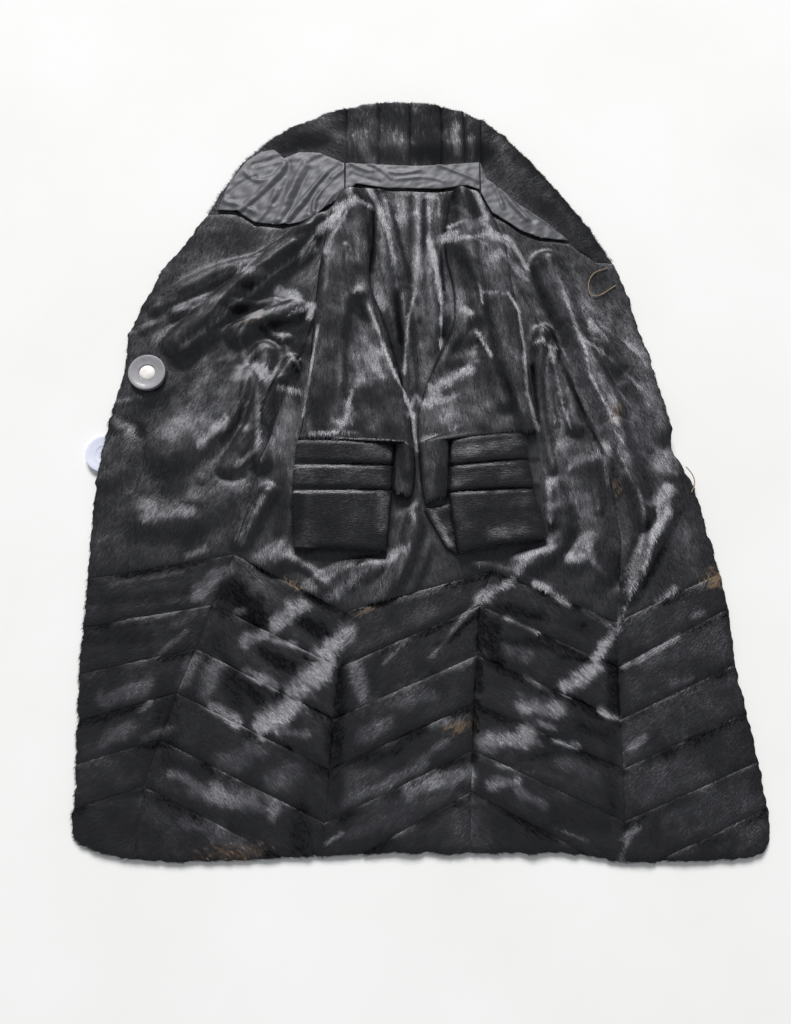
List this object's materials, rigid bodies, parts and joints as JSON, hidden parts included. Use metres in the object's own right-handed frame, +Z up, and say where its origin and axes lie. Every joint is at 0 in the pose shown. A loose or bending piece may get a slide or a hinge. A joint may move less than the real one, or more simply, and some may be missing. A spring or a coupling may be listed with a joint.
{
  "type": "fur coat",
  "caption": "Woman's fur coat laid open with its fur up and both sleeves folded in: herringbone skirt, banded cuffs, satin under-collar, two round buttons and thread loops.",
  "frame": {"origin": "middle of the coat's box as it lies, on the surface that it lies on", "axes": "+Z up from the surface, +Y from the hem to the collar, +X across the back towards the wearer's right front"},
  "size_m": [1.0172, 1.2453, 0.0439],
  "materials": {
    "fur": "short glossy fur, black with a blue-grey sheen",
    "collar_fur": "short glossy fur, black with a blue-grey sheen",
    "skirt_fur": "short glossy fur in slanted skins, black with a blue-grey sheen",
    "cuff_fur": "short glossy fur in rings, black with a blue-grey sheen",
    "satin": "creased grey satin with a soft sheen",
    "button_rim": "polished grey with a turned edge",
    "button_pearl": "pearly white, polished",
    "thread": "matt twisted thread"
  },
  "bodies": {
    "root": {"back": "fur", "button_loop_lower": "thread", "button_loop_upper": "thread", "button_lower_pearl": "button_pearl", "button_lower_rim": "button_rim", "button_upper_pearl": "button_pearl", "button_upper_rim": "button_rim", "collar_back_skin_1": "collar_fur", "collar_back_skin_2": "collar_fur", "collar_back_skin_3": "collar_fur", "collar_back_skin_4": "collar_fur", "collar_back_skin_5": "collar_fur", "collar_left": "collar_fur", "collar_right": "collar_fur", "cuff_left_skin_1": "cuff_fur", "cuff_left_skin_2": "cuff_fur", "cuff_left_skin_3": "cuff_fur", "cuff_right_skin_1": "cuff_fur", "cuff_right_skin_2": "cuff_fur", "cuff_right_skin_3": "cuff_fur", "cuff_right_underlap": "cuff_fur", "front_left": "fur", "front_right": "fur", "skirt_back_skin_1": "skirt_fur", "skirt_back_skin_2": "skirt_fur", "skirt_back_skin_3": "skirt_fur", "skirt_back_skin_4": "skirt_fur", "skirt_back_skin_5": "skirt_fur", "skirt_back_skin_6": "skirt_fur", "skirt_front_left_skin_1": "skirt_fur", "skirt_front_left_skin_2": "skirt_fur", "skirt_front_left_skin_3": "skirt_fur", "skirt_front_left_skin_4": "skirt_fur", "skirt_front_left_skin_5": "skirt_fur", "skirt_front_left_skin_6": "skirt_fur", "skirt_front_right_skin_1": "skirt_fur", "skirt_front_right_skin_2": "skirt_fur", "skirt_front_right_skin_3": "skirt_fur", "skirt_front_right_skin_4": "skirt_fur", "skirt_front_right_skin_5": "skirt_fur", "skirt_front_right_skin_6": "skirt_fur", "skirt_side_left_skin_1": "skirt_fur", "skirt_side_left_skin_2": "skirt_fur", "skirt_side_left_skin_3": "skirt_fur", "skirt_side_left_skin_4": "skirt_fur", "skirt_side_left_skin_5": "skirt_fur", "skirt_side_left_skin_6": "skirt_fur", "skirt_side_right_skin_1": "skirt_fur", "skirt_side_right_skin_2": "skirt_fur", "skirt_side_right_skin_3": "skirt_fur", "skirt_side_right_skin_4": "skirt_fur", "skirt_side_right_skin_5": "skirt_fur", "skirt_side_right_skin_6": "skirt_fur", "sleeve_left": "fur", "sleeve_right": "fur", "under_collar_left": "satin", "under_collar_neck": "satin", "under_collar_right": "satin"}
  },
  "joints": []
}
